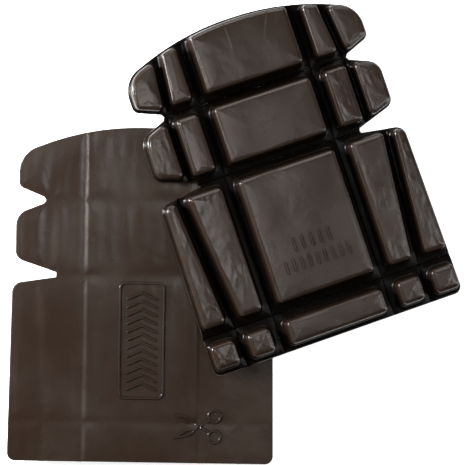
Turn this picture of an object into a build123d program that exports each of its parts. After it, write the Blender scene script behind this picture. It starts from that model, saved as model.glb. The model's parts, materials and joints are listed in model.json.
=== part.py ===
"""A pair of moulded foam knee guards for the knee pockets of work trousers.

Each guard is a thin foam sheet with raised blocks on its knee side, in four rows of five. The grooves
between the blocks are fold lines. Every block here is one solid with its own share of the thin sheet,
and neighbours meet in a line on the smooth outer side, which is where the foam folds.

A guard is laid out flat: X to the right as seen from the knee side, Y up the leg from the bottom edge,
Z from the smooth outer side towards the knee. The finished pair lies on the floor, the lower guard with
its smooth side up and the upper guard across it with its blocks up. All sizes are in millimetres.
"""

import os

from build123d import *

# ---- one guard ----
GUARD_HEIGHT = 244.4
SHEET_THICKNESS = 2.2
CENTRE_THICKNESS = 16.0
INNER_THICKNESS = 14.0
OUTER_THICKNESS = 12.0
BORDER_WIDTH = 1.2  # plain sheet left around the blocks
WALL_DRAFT = 6.0  # degrees that a block's walls lean in
TOP_EDGE_RADIUS = 2.2
BLOCK_CORNER_RADIUS = 4.5
FOLD_LIMIT = 20.0  # degrees that two neighbours fold towards the knee
FOLD_RELIEF = FOLD_LIMIT / 2 + 1.0  # degrees that each side of a fold line leans back, so it can close

# The right half of the outline from the top centre down to the bottom corner: x, y, corner radius.
NOTCH_HALF_WIDTH = 1.7
NOTCH_RADIUS = 1.0
TOP_FOLD_Y = 190.5
MIDDLE_FOLD_Y = 136.2
BOTTOM_FOLD_Y = 29.2
TOP_NOTCH_END_X = 71.0
MIDDLE_NOTCH_END_X = 63.0
BOTTOM_CORNER_X = 97.2  # the widest place of a guard
RIGHT_OUTLINE = [
    (38.0, GUARD_HEIGHT, 195.0),
    (91.2, 224.3, 20.0),
    (91.2, 200.3, 6.0),
    (TOP_NOTCH_END_X, TOP_FOLD_Y + NOTCH_HALF_WIDTH, NOTCH_RADIUS),
    (TOP_NOTCH_END_X, TOP_FOLD_Y - NOTCH_HALF_WIDTH, NOTCH_RADIUS),
    (93.0, 180.1, 12.0),
    (93.0, 147.8, 8.0),
    (MIDDLE_NOTCH_END_X, MIDDLE_FOLD_Y + NOTCH_HALF_WIDTH, NOTCH_RADIUS),
    (MIDDLE_NOTCH_END_X, MIDDLE_FOLD_Y - NOTCH_HALF_WIDTH, NOTCH_RADIUS),
    (95.1, 129.6, 8.0),
    (BOTTOM_CORNER_X, 0.0, 6.0),
]

# Fold lines and block edges across the guard, as distances from the centreline. A pair is the value at
# the bottom and at the top of the row's blocks, because the outer folds slant.
CENTRE_HALF_WIDTH = 38.4
WING_FOLD_X = 43.0
BEYOND = 20.0  # how far a cell's open sides run past the outline
ROWS = {
    "bottom_row": {
        "cell_y": (-BEYOND, BOTTOM_FOLD_Y),
        "block_y": (3.8, 23.6),
        "inner_start": 48.6,
        "inner_end": (68.2, 68.2),
        "edge_fold": (72.0, 72.0),
        "outer_start": (75.8, 75.8),
    },
    "main_row": {
        "cell_y": (BOTTOM_FOLD_Y, MIDDLE_FOLD_Y),
        "block_y": (34.8, 130.8),
        "inner_start": 48.6,
        "inner_end": (67.4, 77.4),
        "edge_fold": (72.4, 80.8),
        "outer_start": (76.6, 83.8),
    },
    "upper_row": {
        "cell_y": (MIDDLE_FOLD_Y, TOP_FOLD_Y),
        "block_y": (141.4, 186.2),
        "inner_start": 47.8,
        "inner_end": (66.8, 66.8),
        "edge_fold": (69.2, 69.2),
        "outer_start": (71.6, 71.6),
    },
    "top_row": {
        "cell_y": (TOP_FOLD_Y, GUARD_HEIGHT + BEYOND),
        "block_y": (194.8, GUARD_HEIGHT + BEYOND),
        "inner_start": 47.6,
        "inner_end": (65.2, 57.4),
        "edge_fold": (67.6, 60.1),
        "outer_start": (70.0, 62.8),
    },
}
THICKNESS = {"centre": CENTRE_THICKNESS, "inner": INNER_THICKNESS, "outer": OUTER_THICKNESS}
# ---- how the pair lies ----
LOWER_GUARD_YAW = -0.9  # degrees
UPPER_GUARD_YAW = 19.0
UPPER_GUARD_SHIFT = (104.8, 87.0)  # from the lower guard's middle to the upper guard's
UPPER_GUARD_HEIGHT = 14.77  # of the middle of its smooth side above the floor
UPPER_GUARD_ROLL = -2.699  # degrees about X and Y, so that it leans on the lower guard and on the floor
UPPER_GUARD_PITCH = 8.094


def guard_outline():
    """The closed outline of one guard, as a face on the floor plane."""
    left = [(-x, y, radius) for x, y, radius in reversed(RIGHT_OUTLINE)]
    corners = RIGHT_OUTLINE + left
    points = [(x, y) for x, y, _ in corners]
    radii = [radius for _, _, radius in corners]
    return make_face(FilletPolyline(*points, radius=radii, close=True))


def slant_x(pair, block_y, y):
    """The x at height y on the line through a pair of values at a block's bottom and top."""
    share = (y - block_y[0]) / (block_y[1] - block_y[0])
    return pair[0] + share * (pair[1] - pair[0])


def strip_face(row, y_range, inner_pair, outer_pair):
    """The four-sided face between two lines that run up a row."""
    corners = []
    for y, pair in ((y_range[0], inner_pair), (y_range[0], outer_pair), (y_range[1], outer_pair),
                    (y_range[1], inner_pair)):
        corners.append((slant_x(pair, ROWS[row]["block_y"], y), y))
    return make_face(Polyline(*corners, close=True))


def column_lines(row, kind, lines):
    """The pair of lines that bound a cell or a block of this kind."""
    past_edge = BOTTOM_CORNER_X + BEYOND
    data = ROWS[row]
    if lines == "cell":
        bounds = {
            "centre": ((-WING_FOLD_X, -WING_FOLD_X), (WING_FOLD_X, WING_FOLD_X)),
            "inner": ((WING_FOLD_X, WING_FOLD_X), data["edge_fold"]),
            "outer": (data["edge_fold"], (past_edge, past_edge)),
        }
    else:
        inner_start = data["inner_start"]
        bounds = {
            "centre": ((-CENTRE_HALF_WIDTH, -CENTRE_HALF_WIDTH), (CENTRE_HALF_WIDTH, CENTRE_HALF_WIDTH)),
            "inner": ((inner_start, inner_start), data["inner_end"]),
            "outer": (data["outer_start"], (past_edge, past_edge)),
        }
    return bounds[kind]


def round_corners(face, radius):
    """The face with its outward corners rounded, by shrinking it and growing it back."""
    return offset(offset(face, -radius, kind=Kind.INTERSECTION), radius, kind=Kind.ARC)


def raise_from(sketch, height, lean):
    """The sketch's one face raised from the floor, with walls that lean in by this many degrees."""
    return Solid.extrude_taper(Face(sketch.face().outer_wire()), (0, 0, height), lean)


def sheet_piece(outline, row, kind):
    """A cell's share of the thin sheet, up to the fold lines around it."""
    lines = column_lines(row, kind, "cell")
    cell = outline & strip_face(row, ROWS[row]["cell_y"], *lines)
    return raise_from(cell, SHEET_THICKNESS, FOLD_RELIEF)


def raised_block(inset_outline, row, kind):
    """A raised block with leaning walls, rounded corners and a rounded top edge."""
    lines = column_lines(row, kind, "block")
    plan = inset_outline & strip_face(row, ROWS[row]["block_y"], *lines)
    block = raise_from(round_corners(plan, BLOCK_CORNER_RADIUS), THICKNESS[kind], WALL_DRAFT)
    top_edges = block.faces().sort_by(Axis.Z)[-1].edges()
    return fillet(top_edges, TOP_EDGE_RADIUS)


def guard_blocks():
    """Every block of one guard in its flat layout, by row and column name."""
    outline = guard_outline()
    inset_outline = offset(outline, -BORDER_WIDTH)
    blocks = {}
    for row in ROWS:
        for kind in THICKNESS:
            block = sheet_piece(outline, row, kind) + raised_block(inset_outline, row, kind)
            if kind == "centre":
                blocks[row, kind] = block
            else:
                blocks[row, f"right_{kind}"] = block
                blocks[row, f"left_{kind}"] = mirror(block, about=Plane.YZ)
    return blocks


def guard_places():
    """Where each guard's flat layout goes, before the pair is centred on the origin."""
    middle = Location((0, -GUARD_HEIGHT / 2, 0))
    face_down = Location((0, 0, CENTRE_THICKNESS), (0, 180, 0))
    lower = Rotation(0, 0, LOWER_GUARD_YAW) * face_down * middle
    lean = Location((*UPPER_GUARD_SHIFT, UPPER_GUARD_HEIGHT)) * Rotation(UPPER_GUARD_ROLL, UPPER_GUARD_PITCH, 0)
    upper = lean * Rotation(0, 0, UPPER_GUARD_YAW) * middle
    return {"lower_guard": lower, "upper_guard": upper}


def centring_move(solids):
    """The move that puts the middle of the pair's footprint over the origin and its base on the floor."""
    boxes = [solid.bounding_box() for solid in solids]
    low_x, high_x = min(box.min.X for box in boxes), max(box.max.X for box in boxes)
    low_y, high_y = min(box.min.Y for box in boxes), max(box.max.Y for box in boxes)
    base = min(box.min.Z for box in boxes)
    return Location((-(low_x + high_x) / 2, -(low_y + high_y) / 2, -base))


def pair_of_guards():
    """All the blocks of both guards in their places, by node name, and the move that centred them."""
    flat = guard_blocks()
    nodes = {}
    for guard, place in guard_places().items():
        for (row, column), block in flat.items():
            nodes[f"{guard}_{row}_{column}_block"] = place * block
    move = centring_move(nodes.values())
    return {name: move * block for name, block in nodes.items()}, move


if __name__ == "__main__":
    os.makedirs("parts", exist_ok=True)
    for name, block in pair_of_guards()[0].items():
        export_step(block.solid(), f"parts/{name}.step")
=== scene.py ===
"""The look of a pair of moulded foam knee guards, built on the CAD frame.

Every CAD block gets one closed foam piece. A piece is a stack of rings: it starts at the middle of the
smooth side, runs out to the rim, round the edge of the thin sheet, across the groove, up the block's wall
and in over its top. The ring shapes are cut from the CAD solids. Raised marks are closed shells bedded in
the piece that they lie on. Each guard is worked on in its flat layout: X to the right as seen from the
knee side, Y up the leg, Z from the smooth side to the knee.
"""

import json
import math

import bmesh
import bpy
import numpy as np
from mathutils import Matrix, Vector, noise


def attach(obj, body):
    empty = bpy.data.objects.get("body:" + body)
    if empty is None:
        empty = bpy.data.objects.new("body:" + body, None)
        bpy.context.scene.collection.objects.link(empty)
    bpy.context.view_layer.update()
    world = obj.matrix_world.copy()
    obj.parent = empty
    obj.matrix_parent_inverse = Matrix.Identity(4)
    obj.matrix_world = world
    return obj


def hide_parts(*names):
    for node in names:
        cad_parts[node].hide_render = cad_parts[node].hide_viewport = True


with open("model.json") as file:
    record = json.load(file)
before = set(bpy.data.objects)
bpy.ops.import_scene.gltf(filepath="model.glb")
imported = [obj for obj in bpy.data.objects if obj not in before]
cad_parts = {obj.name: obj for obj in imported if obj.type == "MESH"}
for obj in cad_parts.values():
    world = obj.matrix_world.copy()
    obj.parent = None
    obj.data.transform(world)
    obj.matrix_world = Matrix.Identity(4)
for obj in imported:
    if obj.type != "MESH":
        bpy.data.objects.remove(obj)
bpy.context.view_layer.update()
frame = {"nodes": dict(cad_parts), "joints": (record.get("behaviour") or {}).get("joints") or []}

MM = 0.001

# ---- shape of the foam, in millimetres ----
POINT_SPACING = 1.2  # between the points of a ring, and between rings on flat faces
SLICE_ABOVE_SMOOTH_SIDE = 0.002  # where a cell's outline is read
SLICE_ABOVE_SHEET = 0.3  # height above the thin sheet where a block's outline is read
SHEET_THICKNESS = 2.2
FOLD_THICKNESS = 1.6  # the sheet is thinnest at a fold line
WALL_SLOPE = math.tan(math.radians(6))
FOLD_LEAN = math.tan(math.radians(11))
FOOT_ROUNDING = 2.8  # radius where a block's wall rises from the groove
FOOT_SHARE = 0.8  # the most of the groove that the rounding takes
EDGE_ROUNDING = 1.5  # radius where a block's wall turns into its top
TOP_DOME = 0.4  # how much the middle of a wide block's top is higher than its edges
SKIN_ALLOWANCE = 0.3  # kept free below the CAD's height for the skin's unevenness
DOME_REACH = 5.0  # how far from its edge a top still falls away
BEVEL_WIDTH = 1.0
BEVEL_DROP = 0.3
FULL_PROFILE_HALF_WIDTH = 8.0  # narrower blocks have a smaller rounding and bevel
BEVEL_STEPS = ((0.25, 0.3), (0.55, 0.65), (0.8, 0.9), (1.0, 1.0))  # shares of the bevel's width and drop
FREE_RIM = ((0.9, 0.0), (0.42, 0.1), (0.1, 0.45), (0.0, 1.1), (0.1, 1.7), (0.45, 2.1), (0.95, SHEET_THICKNESS))
FREE_EDGE_GAP = 0.08  # a rim this far from every other cell is a free edge
CORNER_CLEARANCE = 0.1  # the least between a cell's corner and the next point on its outline
SHARP_ANGLE = 30.0  # degrees between faces that meet in a sharp edge

# ---- unevenness of the smooth side, in millimetres ----
CALM_WIDTH = 6.0  # how far from the edge of its cell a ripple reaches its full height
BEND_CALM_WIDTH = 3.0  # the same for the ridges beside the wing folds, at the bends
CENTRE_RIDGE = 0.7  # on the centre side of a wing fold
WING_RIDGE = 0.2  # on its wing side
BOTTOM_RIDGE = 0.25
BULGE = 0.3
FINE_RIPPLE = 0.28
BROAD_RIPPLE = 0.55

# ---- unevenness of the tops, in millimetres ----
SLOW_WAVE = 0.35
CREASE_HEIGHT = 0.3
CREASE_STRENGTH = {"centre": 0.06, "inner": 0.8, "outer": 1.3}

# ---- raised marks, in millimetres ----
MARK_WIDTH = 2.2
MARK_RISE = 0.9
MARK_BED = 0.4  # how far a mark's shell reaches into the foam
MARK_SPACING = 0.5  # between the points along a mark
MARK_GAP = 0.5  # from a mark's end to a fold line
SCISSORS_CENTRE = (-42.7, 27.1)
SCISSORS_RING_RADIUS = 4.5
EMBLEM_BOTTOM = 47.0
EMBLEM_TOP = 131.0
EMBLEM_HALF_WIDTH = 16.0
CHEVRON_HALF_WIDTH = 11.0
CHEVRON_PITCH = 6.0
CHEVRON_RISE = 5.0
BAR_LINES = ((68.0, 78.5, 26.5, 5), (54.0, 63.5, 48.0, 9))  # bottom, top, width and number of bars of a line

# ---- light, with powers in watts and lengths in metres ----
HORIZON_BRIGHTNESS = 0.5
ZENITH_BRIGHTNESS = 0.32
FLOOR_GLOW = 0.8
FLOOR_SIZE = 8.0
FLOOR_DROP = 0.0002  # how far the floor lies under the pair, so that no faces coincide

# ---- camera, in metres ----
CAMERA_HEIGHT = 1.5
VIEW_WIDTH = 0.3435  # what the picture's width covers at the height of the blocks
VIEW_CENTRE = (-0.0011, 0.0007)
SENSOR_WIDTH = 36.0


# ---- reading the CAD frame ----

def joint(name):
    """A joint of the frame, by name."""
    return next(j for j in frame["joints"] if j["name"] == name)


def flat_layout(guard):
    """The matrix from a guard's flat layout, in millimetres, to the row frame, in metres."""
    across = Vector(joint(f"{guard}_middle_bend")["axis"])
    up_leg = Vector(joint(f"{guard}_right_wing_wrap")["axis"])
    to_knee = across.cross(up_leg)
    turn = Matrix((across, up_leg, to_knee)).transposed().to_4x4()
    middle_fold = Vector(joint(f"{guard}_middle_bend")["pos_m"])
    on_fold = Matrix.Translation(middle_fold) @ turn
    to_fold = on_fold.inverted()
    low = min((to_fold @ v.co).y for name, node in frame["nodes"].items() if name.startswith(guard)
              for v in node.data.vertices)
    return on_fold @ Matrix.Translation((0, low, 0)) @ Matrix.Scale(MM, 4)


def fold_places():
    """The wing folds' distance from the middle and the heights of the bends, in the flat layout."""
    to_flat = flat_layout("lower_guard").inverted()
    across = (to_flat @ Vector(joint("lower_guard_right_wing_wrap")["pos_m"])).x
    bends = [(to_flat @ Vector(joint(f"lower_guard_{row}_bend")["pos_m"])).y for row in ("bottom", "middle")]
    return across, *bends


def slice_loop(mesh, height):
    """The closed outline of a solid at this height, as points in order, anticlockwise from above."""
    cut_mesh = mesh.copy()
    cut = bmesh.ops.bisect_plane(cut_mesh, geom=cut_mesh.verts[:] + cut_mesh.edges[:] + cut_mesh.faces[:],
                                 plane_co=(0, 0, height), plane_no=(0, 0, 1), dist=1e-6)
    edges = {e for e in cut["geom_cut"] if isinstance(e, bmesh.types.BMEdge)}
    edge = edges.pop()
    first, vert = edge.verts
    loop = [first.co.copy(), vert.co.copy()]
    while edges:
        edge = next((e for e in vert.link_edges if e in edges), None)
        if edge is None:
            break
        edges.remove(edge)
        vert = edge.other_vert(vert)
        loop.append(vert.co.copy())
    cut_mesh.free()
    points = np.array([(p.x, p.y) for p in loop])
    points = points[:-1]
    x, y = points[:, 0], points[:, 1]
    area = np.sum(x * np.roll(y, -1) - np.roll(x, -1) * y)
    return points if area > 0 else points[::-1]


def cell_outlines(node, to_flat):
    """The outline of a cell on the smooth side, its block's outline just above the sheet, and its height."""
    mesh = bmesh.new()
    mesh.from_mesh(node.data)
    bmesh.ops.transform(mesh, matrix=to_flat, verts=mesh.verts)
    bmesh.ops.remove_doubles(mesh, verts=mesh.verts, dist=1e-3)
    cell = slice_loop(mesh, SLICE_ABOVE_SMOOTH_SIDE)
    block = slice_loop(mesh, SHEET_THICKNESS + SLICE_ABOVE_SHEET)
    height = max(v.co.z for v in mesh.verts)
    mesh.free()
    return cell, block, height


# ---- working with closed outlines ----

def resample(loop, spacing):
    """The outline with evenly spaced points."""
    closed = np.vstack([loop, loop[:1]])
    along = np.concatenate([[0], np.cumsum(np.linalg.norm(np.diff(closed, axis=0), axis=1))])
    count = max(12, int(round(along[-1] / spacing)))
    places = np.arange(count) * along[-1] / count
    return np.column_stack([np.interp(places, along, closed[:, k]) for k in (0, 1)])


def nearest_on(loop, points):
    """For each point, how far it is from the outline and where along it the nearest place lies."""
    start, end = loop, np.roll(loop, -1, axis=0)
    step = end - start
    length = np.linalg.norm(step, axis=1)
    along = np.concatenate([[0], np.cumsum(length)])[:-1]
    share = np.einsum("psk,sk->ps", points[:, None] - start[None], step) / np.maximum(length**2, 1e-12)
    share = np.clip(share, 0, 1)
    gap = np.linalg.norm(points[:, None] - (start + share[..., None] * step), axis=2)
    best = gap.argmin(axis=1)
    rows = np.arange(len(points))
    return gap[rows, best], along[best] + share[rows, best] * length[best]


def at_place(loop, values, places):
    """Values given at an outline's points, read at places along it."""
    closed = np.vstack([loop, loop[:1]])
    along = np.concatenate([[0], np.cumsum(np.linalg.norm(np.diff(closed, axis=0), axis=1))])
    around = np.vstack([values, values[:1]])
    return np.column_stack([np.interp(places, along, around[:, k]) for k in range(values.shape[1])])


def inward_normals(loop):
    """Unit normals that point into an anticlockwise outline."""
    tangent = np.roll(loop, -1, axis=0) - np.roll(loop, 1, axis=0)
    normal = np.column_stack([-tangent[:, 1], tangent[:, 0]])
    return normal / np.linalg.norm(normal, axis=1)[:, None]


def ray_to(loop, origins, directions):
    """Where each ray first meets the outline."""
    start, end = loop, np.roll(loop, -1, axis=0)
    step = end - start
    between = start[None] - origins[:, None]
    cross = directions[:, None, 0] * step[None, :, 1] - directions[:, None, 1] * step[None, :, 0]
    cross = np.where(np.abs(cross) < 1e-12, 1e-12, cross)
    reach = (between[..., 0] * step[None, :, 1] - between[..., 1] * step[None, :, 0]) / cross
    share = (between[..., 0] * directions[:, None, 1] - between[..., 1] * directions[:, None, 0]) / cross
    reach = np.where((share >= -1e-9) & (share <= 1 + 1e-9) & (reach > 0), reach, np.inf)
    return origins + directions * reach.min(axis=1)[:, None]


def middle_line(loop):
    """For each point of the outline, the nearest place on the shape's own middle line, and its half width."""
    centre = loop.mean(axis=0)
    spread = np.cov((loop - centre).T)
    long_axis = np.linalg.eigh(spread)[1][:, 1]
    along = (loop - centre) @ long_axis
    across = (loop - centre) @ np.array([-long_axis[1], long_axis[0]])
    half_length, half_width = np.ptp(along) / 2, np.ptp(across) / 2
    reach = max(half_length - half_width, 0)
    return centre + np.clip(along, -reach, reach)[:, None] * long_axis, half_width


# ---- the surface of the foam ----

def soft_noise(x, y, size_x, size_y, seed):
    """Smooth noise about -1 to 1, with features of these sizes."""
    return np.array([noise.noise((a / size_x, b / size_y, seed)) for a, b in zip(x, y)])


def ridges_by(distance, crease_width, reach):
    """The height of the two low ridges beside a crease, which is zero in the crease itself."""
    return (1 - np.exp(-(distance / crease_width) ** 2)) * np.exp(-(distance / reach) ** 2)


def smooth_side(x, y, border, seed):
    """Height of the smooth side. It bulges out between the folds and is level with the CAD at every fold.

    border is how far each point is from the edge of its cell, where the folds are.
    """
    calm = 1 - np.exp(-(border / CALM_WIDTH) ** 2)
    from_bottom_fold = np.abs(y - bottom_fold_y)
    from_bend = np.minimum(from_bottom_fold, np.abs(y - middle_fold_y))
    from_wing_fold = np.abs(np.abs(x) - wing_fold_x)
    ridge_height = np.where(np.abs(x) < wing_fold_x, CENTRE_RIDGE, WING_RIDGE)
    between_bends = 1 - np.exp(-(from_bend / BEND_CALM_WIDTH) ** 2)
    wing_ridges = ridge_height * ridges_by(from_wing_fold, 2.4, 8.0) * between_bends
    bottom_ridges = BOTTOM_RIDGE * ridges_by(from_bottom_fold, 1.2, 5.0) * calm
    fine_ripples = FINE_RIPPLE * soft_noise(x, y, 8, 60, seed)
    broad_ripples = BROAD_RIPPLE * soft_noise(x, y, 28, 120, seed + 5)
    return -(wing_ridges + bottom_ridges + calm * (BULGE + fine_ripples + broad_ripples))


def block_skin(x, y, seed, kind):
    """Unevenness of a block's top: a slow waviness and short creases, stronger on the outer blocks."""
    slow = SLOW_WAVE * soft_noise(x, y, 24, 34, seed)
    patches = np.clip(soft_noise(x, y, 18, 18, seed + 9) + 0.5, 0, 1)
    creases = 1 - np.abs(soft_noise(x, y, 5, 13, seed + 3)) * 2
    return slow + CREASE_STRENGTH[kind] * patches * creases * CREASE_HEIGHT


# ---- one foam piece ----

def outline_length(loop):
    """The length of a closed outline."""
    return np.linalg.norm(np.roll(loop, -1, axis=0) - loop, axis=1).sum()


def matched_points(cell, block):
    """Pairs of points, one on the block's outline and one on the cell's, and the block's normals there.

    Every corner of the cell is among them, so that neighbouring cells meet exactly.
    """
    block = resample(block, 0.4)
    normals = inward_normals(block)
    places = np.arange(0, outline_length(block), POINT_SPACING)
    on_block = at_place(block, block, places)
    on_cell = ray_to(cell, on_block, -at_place(block, normals, places))
    cell_places = nearest_on(cell, on_cell)[1]
    corner_places = nearest_on(cell, cell)[1]
    apart = np.abs(cell_places[:, None] - corner_places[None]).min(axis=1) > CORNER_CLEARANCE
    places = np.concatenate([places[apart], nearest_on(block, cell)[1]])
    on_cell = np.vstack([on_cell[apart], cell])
    order = np.argsort(np.concatenate([cell_places[apart], corner_places]), kind="stable")
    places = forwards(places[order], outline_length(block))
    return at_place(block, block, places), on_cell[order], at_place(block, normals, places)


def forwards(places, length):
    """The places along a closed outline, changed a little so that they never step back."""
    onward = np.maximum.accumulate(np.unwrap(places, period=length))
    return np.minimum(onward, onward[0] + length) % length


def squareness(cell, points, inward):
    """How square each inward direction is to the cell edges at its point, as a cosine."""
    start, step = cell, np.roll(cell, -1, axis=0) - cell
    length = np.maximum(np.linalg.norm(step, axis=1), 1e-9)
    share = np.clip(np.einsum("psk,sk->ps", points[:, None] - start[None], step) / length**2, 0, 1)
    gap = np.linalg.norm(points[:, None] - (start + share[..., None] * step), axis=2)
    normals = np.column_stack([-step[:, 1], step[:, 0]]) / length[:, None]
    cosines = np.where(gap < 0.3, inward @ normals.T, 1.0)
    return np.clip(cosines.min(axis=1), 0.3, 1.0)


def rim_rings(on_cell, inward, free, square):
    """The rings round the edge of the sheet: rounded where it is free, straight at a fold line."""
    fold_z = np.linspace(0, FOLD_THICKNESS, len(FREE_RIM))
    rings = []
    for (inset, z), z_fold in zip(FREE_RIM, fold_z):
        ring_inset = free * inset + (1 - free) * z_fold * FOLD_LEAN / square
        ring_z = free * z + (1 - free) * z_fold
        rings.append((on_cell + inward * ring_inset[:, None], ring_z))
    return rings


def block_rings(on_block, normals, height, half_width, groove_width):
    """The rings from the groove up the wall and over the rounded edge, as insets from the block's outline."""
    size = min(1.0, half_width / FULL_PROFILE_HALF_WIDTH)
    rounding, bevel, drop = EDGE_ROUNDING * size, BEVEL_WIDTH * size, BEVEL_DROP * size
    wall_top = height - drop - rounding
    wall_run = (wall_top - SHEET_THICKNESS) * WALL_SLOPE
    foot = np.minimum(FOOT_ROUNDING, FOOT_SHARE * groove_width)
    profile = []
    for angle in (0, 20, 40, 60, 78):
        turn = math.radians(angle)
        profile.append((-foot * (1 - math.sin(turn)), SHEET_THICKNESS + foot * (1 - math.cos(turn))))
    for share in (0.0, 0.35, 0.7, 1.0):
        rise = wall_top - SHEET_THICKNESS - foot
        profile.append((wall_run * share, SHEET_THICKNESS + foot + rise * share))
    for angle in (18, 36, 54, 72):
        turn = math.radians(angle)
        profile.append((wall_run + rounding * (1 - math.cos(turn)), wall_top + rounding * math.sin(turn)))
    inset = wall_run + rounding
    for share, rise in BEVEL_STEPS:
        profile.append((inset + bevel * share, height - drop + drop * rise))
    even = np.ones(len(on_block))
    return [(on_block + normals * (even * d)[:, None], even * z) for d, z in profile]


def closing_rings(loop, z, target, half_width, inwards=True):
    """Rings from an outline to its middle line, on a flat face."""
    count = max(3, int(round(half_width / POINT_SPACING)))
    shares = np.linspace(0, 0.97, count + 1)[1:]
    if not inwards:
        shares = shares[::-1]
    return [(loop * (1 - s) + target * s, z) for s in shares]


def foam_rings(cell, block, height, others, seed, kind):
    """The rings of the foam over one CAD block, from the middle of its smooth side to the middle of its top."""
    on_block, on_cell, normals = matched_points(cell, block)
    inward = on_block - on_cell
    inward /= np.maximum(np.linalg.norm(inward, axis=1), 1e-6)[:, None]
    gap = np.min([nearest_on(other, on_cell)[0] for other in others], axis=0)
    free = np.where(gap > FREE_EDGE_GAP, 1.0, 0.0)

    rims = rim_rings(on_cell, inward, free, squareness(cell, on_cell, inward))
    target, half_width = middle_line(rims[0][0])
    flat = np.zeros(len(on_cell))
    smooth = closing_rings(rims[0][0], flat, target, half_width, inwards=False)
    groove_outer, groove_z = rims[-1]
    _, block_half_width = middle_line(on_block)
    groove_width = np.linalg.norm(on_block - on_cell, axis=1)
    walls = block_rings(on_block, normals, height, block_half_width, groove_width)
    foot, foot_z = walls[0]
    grooves = [(groove_outer * (1 - s) + foot * s, groove_z * (1 - s) + foot_z * s) for s in (0.35, 0.7)]
    top_loop, top_z = walls[-1]
    top_target, top_half_width = middle_line(top_loop)
    tops = closing_rings(top_loop, top_z, top_target, top_half_width)

    rings = smooth + rims + grooves + walls + tops
    top_start = len(rings) - len(tops) - len(BEVEL_STEPS)
    first_groove = len(smooth) + len(rims) - 1
    points, openness = [], []
    for index, (xy, z) in enumerate(rings):
        x, y = xy[:, 0], xy[:, 1]
        below = 0
        if index < first_groove:
            border = nearest_on(cell, xy)[0]
            below = np.clip(1 - z / SHEET_THICKNESS, 0, 1) * smooth_side(x, y, border, seed)
        above = 0
        if index >= top_start:
            fade = min(1.0, (index - top_start) / len(BEVEL_STEPS))
            from_edge = np.linalg.norm(xy - rings[top_start][0], axis=1)
            above = fade * block_skin(x, y, seed, kind) + TOP_DOME * (1 - np.exp(-from_edge / DOME_REACH))
        points.append(np.column_stack([x, y, z + below + above]))
        # Painted shade share: 1 keeps the foam's colour; the groove floor and the rims along fold lines get 0,
        # full painted shade, which fades out up the block's wall.
        if index <= len(smooth) or index >= top_start:
            openness.append(np.ones(len(x)))
        elif index < first_groove:
            openness.append(free)
        else:
            openness.append(np.clip((z - SHEET_THICKNESS) / (height - SHEET_THICKNESS), 0, 1) ** 0.7)
    return points, openness


def ring_faces(ring_total, count, first, closed):
    """Faces between neighbouring rings of equal length, with caps unless the rings close on themselves."""
    faces = []
    for ring in range(ring_total if closed else ring_total - 1):
        low, high = first + ring * count, first + (ring + 1) % ring_total * count
        for k in range(count):
            after = (k + 1) % count
            faces.append((low + k, high + k, high + after, low + after))
    if not closed:
        last = first + (ring_total - 1) * count
        faces.append(tuple(first + k for k in range(count)))
        faces.append(tuple(last + k for k in reversed(range(count))))
    return faces


def foam_mesh(name, shells, layout):
    """One object in the row frame from closed shells: each its rings, their share free of painted shade and if
    it is a loop.
    """
    points, openness, faces, first = [], [], [], 0
    for rings, ring_painted_shade_openness, closed in shells:
        faces += ring_faces(len(rings), len(rings[0]), first, closed)
        points += rings
        openness += ring_painted_shade_openness
        first += len(rings) * len(rings[0])
    mesh = bpy.data.meshes.new(name)
    mesh.from_pydata(np.vstack(points).tolist(), [], faces)
    # The share is stored on the points for the material's painted shade.
    mesh.attributes.new("openness", "FLOAT", "POINT").data.foreach_set("value", np.concatenate(openness))
    mesh.transform(layout)
    finish_mesh(mesh)
    piece = bpy.data.objects.new(name, mesh)
    bpy.context.scene.collection.objects.link(piece)
    return piece


def finish_mesh(mesh):
    """Outward faces, smooth shading and sharp edges where the surface turns sharply."""
    work = bmesh.new()
    work.from_mesh(mesh)
    bmesh.ops.recalc_face_normals(work, faces=work.faces)
    work.to_mesh(mesh)
    work.free()
    mesh.shade_smooth()
    mesh.set_sharp_from_angle(angle=math.radians(SHARP_ANGLE))


# ---- raised marks ----

def along_path(corners, closed):
    """Evenly spaced points along a path."""
    path = np.array(corners + corners[:1] if closed else corners, dtype=float)
    along = np.concatenate([[0], np.cumsum(np.linalg.norm(np.diff(path, axis=0), axis=1))])
    count = max(4, int(round(along[-1] / MARK_SPACING)) + 1)
    places = np.linspace(0, along[-1], count)
    if closed:
        places = places[:-1]
    return np.column_stack([np.interp(places, along, path[:, k]) for k in (0, 1)])


def arc(centre, radius, start, stop):
    """Points on an arc between two angles in degrees."""
    angles = np.radians(np.linspace(start, stop, max(3, int(abs(stop - start) / 15) + 1)))
    return [(centre[0] + radius * math.cos(a), centre[1] + radius * math.sin(a)) for a in angles]


def rounded_frame(half_width, low, high, radius):
    """The outline of an upright rounded rectangle about x = 0."""
    x = half_width - radius
    return (arc((x, high - radius), radius, 0, 90) + arc((-x, high - radius), radius, 90, 180)
            + arc((-x, low + radius), radius, 180, 270) + arc((x, low + radius), radius, 270, 360))


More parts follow.
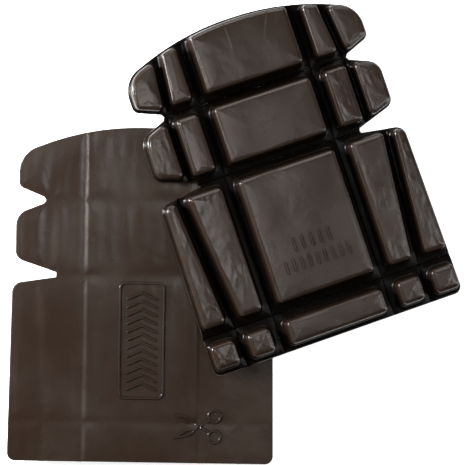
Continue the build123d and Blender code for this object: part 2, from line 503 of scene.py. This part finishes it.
def stroke_rings(path, closed, surface, side):
    """Rings across a low rounded ridge along a path. side is 1 on the knee side and -1 on the smooth side."""
    if closed:
        tangent = np.roll(path, -1, axis=0) - np.roll(path, 1, axis=0)
    else:
        tangent = np.gradient(path, axis=0)
    tangent /= np.linalg.norm(tangent, axis=1)[:, None]
    half_profile = [(0.5, -MARK_BED), (0.5, 0.05), (0.36, 0.6 * MARK_RISE), (0.2, MARK_RISE)]
    profile = [(-share, z) for share, z in half_profile] + half_profile[::-1]
    # Painted shade across a mark: full at its foot where it meets the foam, some on its side, none on its top.
    painted_shade_profile = [0.0, 0.0, 0.6, 1.0]
    rings = []
    for index, (point, direction) in enumerate(zip(path, tangent)):
        at_end = not closed and index in (0, len(path) - 1)
        size = 0.5 if at_end else 1.0
        across = np.array([-direction[1], direction[0]]) * MARK_WIDTH * size
        xy = np.array([point + across * share for share, _ in profile])
        rise = np.array([z * (size if z > 0 else 1) for _, z in profile])
        rings.append(np.column_stack([xy, surface(xy) + side * rise]))
    return rings, [np.array(painted_shade_profile + painted_shade_profile[::-1])] * len(rings)


def scissors():
    """A plain trim sign: two ring handles, two shanks that cross, and two outlined blades."""
    centre_x, centre_y = SCISSORS_CENTRE
    paths = []
    for half in (1, -1):
        ring = arc((-11.5, 7.4 * half), SCISSORS_RING_RADIUS, 0, 345)
        shank = [(-8.0, 4.4), (-4.0, 1.9), (3.0, -1.6)]
        blade = [(3.0, -1.6), (10.0, -3.4), (17.5, -8.6), (9.0, -6.8), (4.5, -4.6)]
        paths.append((ring, True))
        paths.append(([(x, y * half) for x, y in shank], False))
        paths.append(([(x, y * half) for x, y in blade], True))
    return [([(x + centre_x, y + centre_y) for x, y in path], closed) for path, closed in paths]


def emblem():
    """A plain rounded frame with chevron ribs in it."""
    paths = [(rounded_frame(EMBLEM_HALF_WIDTH, EMBLEM_BOTTOM, EMBLEM_TOP, 4.0), True)]
    for y in np.arange(EMBLEM_BOTTOM + CHEVRON_PITCH, EMBLEM_TOP - 2 * CHEVRON_RISE, CHEVRON_PITCH):
        chevron = [(-CHEVRON_HALF_WIDTH, y), (0.0, y + CHEVRON_RISE), (CHEVRON_HALF_WIDTH, y)]
        paths.append((chevron, False))
    return paths


def bars():
    """Two lines of short upright bars on the knee side."""
    paths = []
    for low, high, width, count in BAR_LINES:
        for x in np.linspace(-width / 2, width / 2, count):
            paths.append(([(x, low), (x, high)], False))
    return paths


def cut_at_folds(corners, closed):
    """Parts of a path with the cell that each lies in, parted with a small gap at the fold lines."""
    path = along_path(corners, closed)
    column = np.where(path[:, 0] < -wing_fold_x, "left_inner", "centre")
    row = np.where(path[:, 1] < bottom_fold_y, "bottom_row", "main_row")
    near = np.minimum(np.abs(path[:, 0] + wing_fold_x), np.abs(path[:, 1] - bottom_fold_y)) < MARK_GAP
    if not near.any() and len(set(zip(row, column))) == 1:
        return [(row[0], column[0], path, closed)]
    parts = []
    run = []
    for index in range(len(path) + 1):
        ended = index == len(path) or near[index]
        if not ended:
            run.append(index)
        at_last = index + 1 >= len(path)
        if ended or (not at_last and (row[index], column[index]) != (row[index + 1], column[index + 1])):
            if len(run) > 3:
                parts.append((row[run[0]], column[run[0]], path[run], False))
            run = []
    return parts


def marks_on(name, cell, height, seed):
    """The marks of one block: for each, its rings, their share free of painted shade and whether it closes on
    itself.
    """
    def smooth_surface(xy):
        return smooth_side(xy[:, 0], xy[:, 1], nearest_on(cell, xy)[0], seed)

    def top_surface(xy):
        return height + block_skin(xy[:, 0], xy[:, 1], seed, "centre") + TOP_DOME

    marks = []
    if "main_row_centre" in name:
        for corners, closed in emblem():
            marks.append((*stroke_rings(along_path(corners, closed), closed, smooth_surface, -1), closed))
        for corners, closed in bars():
            marks.append((*stroke_rings(along_path(corners, closed), closed, top_surface, 1), closed))
    for corners, closed in scissors():
        for row, column, path, whole in cut_at_folds(corners, closed):
            if f"_{row}_{column}_" in name:
                marks.append((*stroke_rings(path, whole, smooth_surface, -1), whole))
    return marks


# ---- materials ----

def foam_material():
    """Dark brown-black foam with a smooth moulded skin, a little uneven in colour and gloss. Painted shade
    darkens it and dims its reflections in the grooves, at the fold rims and at the marks' feet.
    """
    material = bpy.data.materials.new("foam_skin")
    material.use_nodes = True
    nodes, links = material.node_tree.nodes, material.node_tree.links
    shader = nodes["Principled BSDF"]
    place = nodes.new("ShaderNodeTexCoord")

    broad = nodes.new("ShaderNodeTexNoise")
    broad.inputs["Scale"].default_value = 22
    broad.inputs["Detail"].default_value = 4
    links.new(place.outputs["Object"], broad.inputs["Vector"])

    colour = nodes.new("ShaderNodeMix")
    colour.data_type = "RGBA"
    colour.inputs["A"].default_value = (0.0165, 0.0095, 0.006, 1)
    colour.inputs["B"].default_value = (0.025, 0.0155, 0.0105, 1)
    links.new(broad.outputs["Fac"], colour.inputs["Factor"])
    # Painted shade: where the share stored on the points is low, the colour is mixed towards the near-black
    # below.
    openness = nodes.new("ShaderNodeAttribute")
    openness.attribute_name = "openness"
    groove = nodes.new("ShaderNodeMix")
    groove.data_type = "RGBA"
    groove.inputs["A"].default_value = (0.002, 0.0012, 0.0008, 1)
    links.new(openness.outputs["Fac"], groove.inputs["Factor"])
    links.new(colour.outputs["Result"], groove.inputs["B"])
    links.new(groove.outputs["Result"], shader.inputs["Base Color"])

    # Painted shade also dims the reflections in the same places.
    painted_shade_shine = nodes.new("ShaderNodeMapRange")
    painted_shade_shine.inputs["To Min"].default_value = 0.08
    painted_shade_shine.inputs["To Max"].default_value = 0.55
    links.new(openness.outputs["Fac"], painted_shade_shine.inputs["Value"])
    links.new(painted_shade_shine.outputs["Result"], shader.inputs["Specular IOR Level"])

    gloss = nodes.new("ShaderNodeMapRange")
    gloss.inputs["From Min"].default_value = 0.3
    gloss.inputs["From Max"].default_value = 0.7
    gloss.inputs["To Min"].default_value = 0.2
    gloss.inputs["To Max"].default_value = 0.32
    links.new(broad.outputs["Fac"], gloss.inputs["Value"])
    links.new(gloss.outputs["Result"], shader.inputs["Roughness"])

    pores = nodes.new("ShaderNodeTexNoise")
    pores.inputs["Scale"].default_value = 900
    pores.inputs["Detail"].default_value = 2
    links.new(place.outputs["Object"], pores.inputs["Vector"])
    creases = nodes.new("ShaderNodeTexNoise")
    creases.inputs["Scale"].default_value = 130
    creases.inputs["Detail"].default_value = 5
    links.new(place.outputs["Object"], creases.inputs["Vector"])
    fine = nodes.new("ShaderNodeBump")
    fine.inputs["Strength"].default_value = 0.12
    fine.inputs["Distance"].default_value = 0.0002
    links.new(pores.outputs["Fac"], fine.inputs["Height"])
    coarse = nodes.new("ShaderNodeBump")
    coarse.inputs["Strength"].default_value = 0.25
    coarse.inputs["Distance"].default_value = 0.0006
    links.new(creases.outputs["Fac"], coarse.inputs["Height"])
    links.new(fine.outputs["Normal"], coarse.inputs["Normal"])
    links.new(coarse.outputs["Normal"], shader.inputs["Normal"])
    return material


# ---- building the pair ----

def node_kind(name):
    """Whether a block is a centre, inner or outer one."""
    return next(kind for kind in ("centre", "inner", "outer") if kind in name)


def build_guard(guard, seed, foam):
    """All the foam pieces of one guard."""
    layout = flat_layout(guard)
    to_flat = layout.inverted()
    names = [name for name in frame["nodes"] if name.startswith(guard)]
    outlines = {name: cell_outlines(frame["nodes"][name], to_flat) for name in names}
    for name in names:
        cell, block, cad_height = outlines[name]
        height = cad_height - TOP_DOME - SKIN_ALLOWANCE
        others = [outlines[other][0] for other in names if other != name]
        piece_name = name.replace("_block", "_foam")
        rings, openness = foam_rings(cell, block, height, others, seed, node_kind(name))
        shells = [(rings, openness, False)] + marks_on(name, cell, height, seed)
        piece = foam_mesh(piece_name, shells, layout)
        piece.data.materials.append(foam)
        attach(piece, name.replace("_block", ""))
        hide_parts(name)


# ---- studio ----

def build_floor():
    """A plain pale floor under the pair."""
    bpy.ops.mesh.primitive_plane_add(size=FLOOR_SIZE, location=(0, 0, -FLOOR_DROP))
    floor = bpy.context.object
    floor.name = "floor"
    material = bpy.data.materials.new("floor")
    material.use_nodes = True
    shader = material.node_tree.nodes["Principled BSDF"]
    shader.inputs["Base Color"].default_value = (0.93, 0.93, 0.93, 1)
    shader.inputs["Roughness"].default_value = 0.9
    shader.inputs["Emission Color"].default_value = (1, 1, 1, 1)
    shader.inputs["Emission Strength"].default_value = FLOOR_GLOW
    floor.data.materials.append(material)


def soft_light(name, position, target, size, power):
    """A rectangular soft light aimed at a point."""
    data = bpy.data.lights.new(name, "AREA")
    data.shape = "RECTANGLE"
    data.size, data.size_y = size
    data.energy = power
    light = bpy.data.objects.new(name, data)
    light.location = position
    light.rotation_euler = (Vector(target) - Vector(position)).to_track_quat("-Z", "Y").to_euler()
    bpy.context.scene.collection.objects.link(light)


def studio_world():
    """A sky that is bright near the horizon and dimmer overhead."""
    world = bpy.data.worlds.new("studio")
    world.use_nodes = True
    nodes, links = world.node_tree.nodes, world.node_tree.links
    place = nodes.new("ShaderNodeTexCoord")
    parts = nodes.new("ShaderNodeSeparateXYZ")
    links.new(place.outputs["Generated"], parts.inputs["Vector"])
    height = nodes.new("ShaderNodeMapRange")
    height.inputs["From Min"].default_value = 0.1
    height.inputs["From Max"].default_value = 0.9
    height.inputs["To Min"].default_value = HORIZON_BRIGHTNESS
    height.inputs["To Max"].default_value = ZENITH_BRIGHTNESS
    links.new(parts.outputs["Z"], height.inputs["Value"])
    links.new(height.outputs["Result"], nodes["Background"].inputs["Strength"])
    return world


def build_lights():
    """Soft light from both sides and dimmer light from above and around."""
    middle = (0, 0, 0.02)
    soft_light("left_light", (-1.1, 0.25, 0.55), middle, (0.16, 1.3), 60)
    soft_light("right_light", (1.1, 0.0, 0.7), middle, (0.4, 1.4), 7)
    soft_light("top_light", (0.2, 0.2, 1.6), middle, (0.4, 0.4), 2.2)
    soft_light("far_light", (0.0, 1.1, 0.9), middle, (1.4, 0.4), 6)
    bpy.context.scene.world = studio_world()


def build_camera():
    """The camera straight above the pair."""
    data = bpy.data.cameras.new("camera")
    data.sensor_width = SENSOR_WIDTH
    data.lens = SENSOR_WIDTH * CAMERA_HEIGHT / VIEW_WIDTH
    camera = bpy.data.objects.new("camera", data)
    camera.location = (*VIEW_CENTRE, CAMERA_HEIGHT)
    bpy.context.scene.collection.objects.link(camera)
    bpy.context.scene.camera = camera


wing_fold_x, bottom_fold_y, middle_fold_y = fold_places()
foam = foam_material()
build_guard("lower_guard", 3.0, foam)
build_guard("upper_guard", 41.0, foam)
build_floor()
build_lights()
build_camera()
bpy.context.scene.view_settings.view_transform = "Standard"
